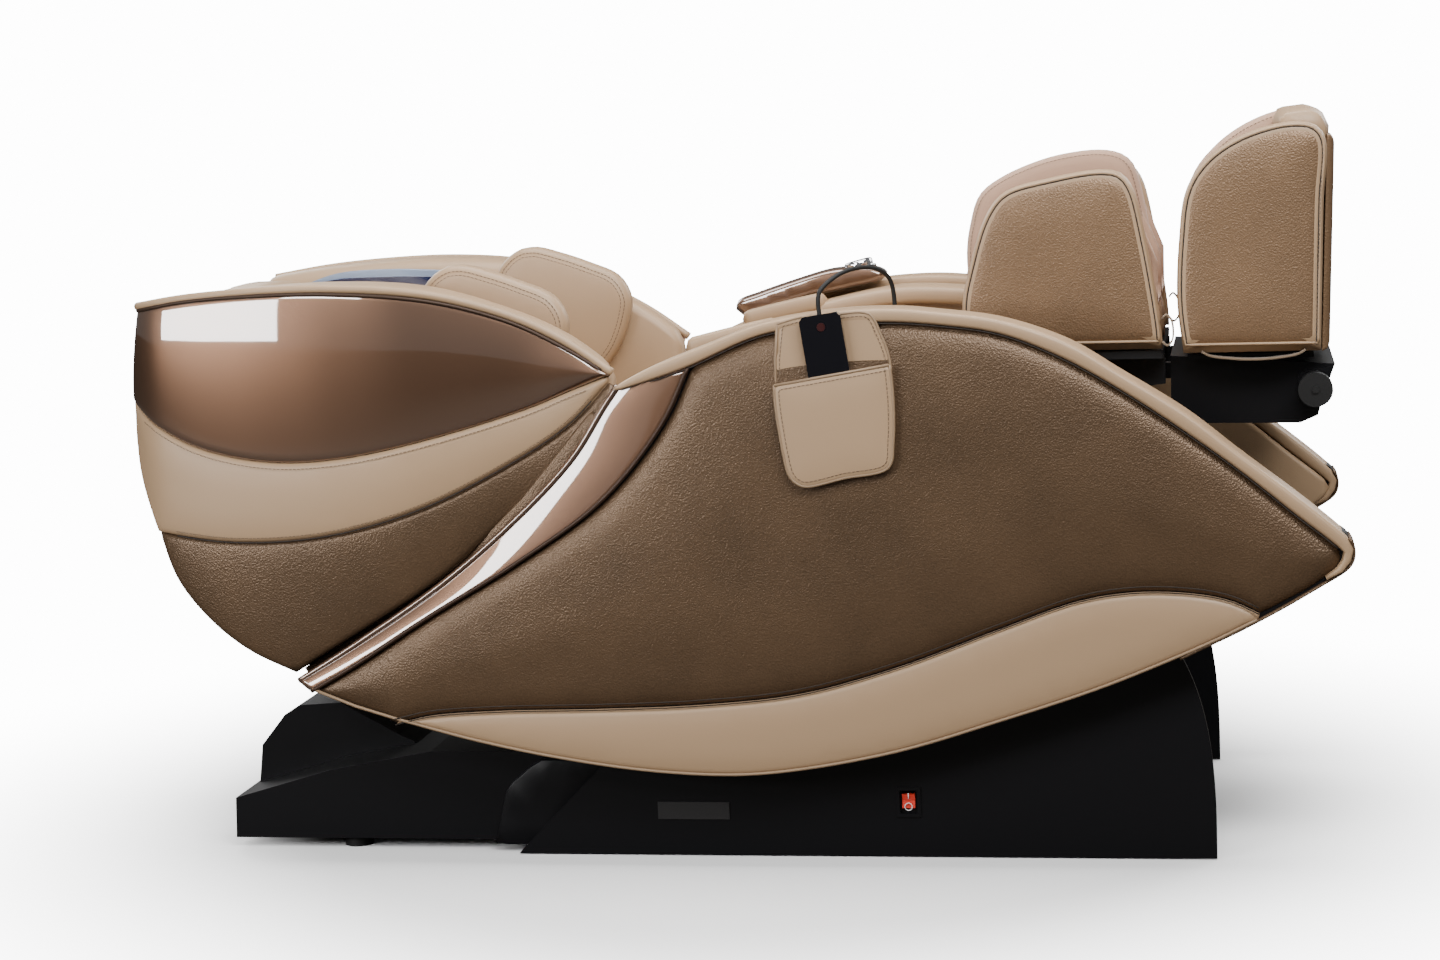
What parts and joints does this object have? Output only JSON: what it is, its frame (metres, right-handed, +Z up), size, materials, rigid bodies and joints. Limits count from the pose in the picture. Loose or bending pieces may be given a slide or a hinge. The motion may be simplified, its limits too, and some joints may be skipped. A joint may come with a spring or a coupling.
{
  "type": "massage chair",
  "caption": "Reclining massage chair in its zero-gravity position, with moulded arms, winged back, calf and foot wells and a low sliding base.",
  "frame": {"origin": "on the floor under the middle of the chair's overall box", "axes": "+X towards the feet, +Y to the sitter's left, +Z up"},
  "size_m": [1.8078, 0.827, 1.0564],
  "materials": {
    "painted_steel": "satin",
    "bright_steel": "satin",
    "black_satin_plastic": "satin",
    "dark_parts": "matte",
    "black_rubber": "matte",
    "badge_metal": "satin",
    "red_plastic": "gloss",
    "key_plastic": "gloss",
    "brown_leather": "satin",
    "cream_leather": "satin",
    "bronze_gloss": "gloss",
    "silver_trim": "gloss",
    "chrome": "gloss",
    "salmon_fabric": "matte",
    "roller_plastic": "satin"
  },
  "bodies": {
    "base": {"base_frame": "painted_steel", "base_cheeks": "black_satin_plastic", "base_rear_deck": "black_satin_plastic", "base_hump": "black_satin_plastic", "base_front_panel": "black_satin_plastic", "base_tray": "painted_steel", "control_box": "dark_parts", "air_pump": "dark_parts", "power_inlet": "black_satin_plastic", "slide_rails": "bright_steel", "rubber_feet": "black_rubber", "switch_bezel": "black_satin_plastic", "badge_plate": "badge_metal"},
    "switch_rocker": {"power_rocker": "red_plastic"},
    "rear_wheelset": {"transport_wheels": "black_rubber"},
    "carriage": {"slide_carriage": "painted_steel", "tilt_pins": "bright_steel"},
    "seat": {"seat_frame": "painted_steel", "seat_pan": "black_satin_plastic", "seat_cushion": "cream_leather", "side_shells": "black_satin_plastic", "arm_liners": "cream_leather", "side_panels": "brown_leather", "gloss_strips": "bronze_gloss", "crescent_trims": "cream_leather", "edge_rolls": "cream_leather", "arm_flaps": "cream_leather", "forearm_pads": "cream_leather", "remote_pocket": "cream_leather", "remote_handset": "black_satin_plastic", "remote_cord": "black_rubber", "cord_gland": "black_satin_plastic", "control_panel": "bronze_gloss", "frame_pins": "bright_steel", "tilt_motor": "dark_parts", "recline_motor": "dark_parts"},
    "handset_key": {"handset_power_key": "key_plastic"},
    "dial": {"control_dial": "chrome"},
    "backrest": {"back_frame": "painted_steel", "back_shell": "brown_leather", "back_bolsters": "cream_leather", "wing_panels": "bronze_gloss", "wing_bands": "cream_leather", "back_flanks": "brown_leather", "back_cushion": "cream_leather", "head_pillow": "cream_leather", "shoulder_pads": "cream_leather", "speaker_trims": "silver_trim", "track_rails": "bright_steel"},
    "massage_unit": {"massage_carriage": "black_satin_plastic"},
    "lower_rollers": {"kneading_rollers_lower": "roller_plastic"},
    "upper_rollers": {"kneading_rollers_upper": "roller_plastic"},
    "legrest": {"calf_frame": "painted_steel", "calf_block": "cream_leather", "calf_linings": "salmon_fabric"},
    "footrest": {"foot_housing": "black_satin_plastic", "foot_block": "cream_leather", "foot_linings": "salmon_fabric", "foot_back_panel": "brown_leather"},
    "front_wheelset": {"foot_wheels": "black_rubber"}
  },
  "joints": [
    {"name": "seat_slide", "type": "slide", "parent": "base", "child": "carriage", "axis": [1, 0, 0], "range_m": [-0.12, 0]},
    {"name": "seat_tilt", "type": "hinge", "parent": "carriage", "child": "seat", "pos_m": [-0.155, 0, 0.265], "axis": [0, 1, 0], "range_deg": [0, 10]},
    {"name": "back_recline", "type": "hinge", "parent": "seat", "child": "backrest", "pos_m": [-0.05, 0, 0.49], "axis": [0, 1, 0], "range_deg": [0, 20]},
    {"name": "legrest_lift", "type": "hinge", "parent": "seat", "child": "legrest", "pos_m": [0.415, 0, 0.665], "axis": [0, 1, 0], "range_deg": [0, 70]},
    {"name": "foot_extend", "type": "slide", "parent": "legrest", "child": "footrest", "axis": [1, 0, 0], "range_m": [0, 0.08]},
    {"name": "massage_travel", "type": "slide", "parent": "backrest", "child": "massage_unit", "axis": [-0.9511, 0, 0.309], "range_m": [-0.06, 0.44]},
    {"name": "lower_roller_spin", "type": "hinge", "parent": "massage_unit", "child": "lower_rollers", "pos_m": [-0.29333, 0, 0.55014], "axis": [0, 1, 0], "continuous": true},
    {"name": "upper_roller_spin", "type": "hinge", "parent": "massage_unit", "child": "upper_rollers", "pos_m": [-0.38843, 0, 0.58104], "axis": [0, 1, 0], "continuous": true},
    {"name": "power_rocker", "type": "hinge", "parent": "base", "child": "switch_rocker", "pos_m": [0.257, -0.319, 0.0855], "axis": [1, 0, 0], "range_deg": [-12, 0]},
    {"name": "handset_key", "type": "slide", "parent": "seat", "child": "handset_key", "axis": [0, 1, 0], "range_m": [0, 0.0012], "stiffness_N_per_m": 400},
    {"name": "dial_turn", "type": "hinge", "parent": "seat", "child": "dial", "pos_m": [0.128, 0.301, 0.836], "axis": [-0.2419, 0, 0.9703], "continuous": true},
    {"name": "rear_wheel_roll", "type": "hinge", "parent": "base", "child": "rear_wheelset", "pos_m": [-0.752, 0, 0.025], "axis": [0, 1, 0], "continuous": true},
    {"name": "front_wheel_roll", "type": "hinge", "parent": "footrest", "child": "front_wheelset", "pos_m": [0.852, 0, 0.668], "axis": [0, 1, 0], "continuous": true}
  ]
}
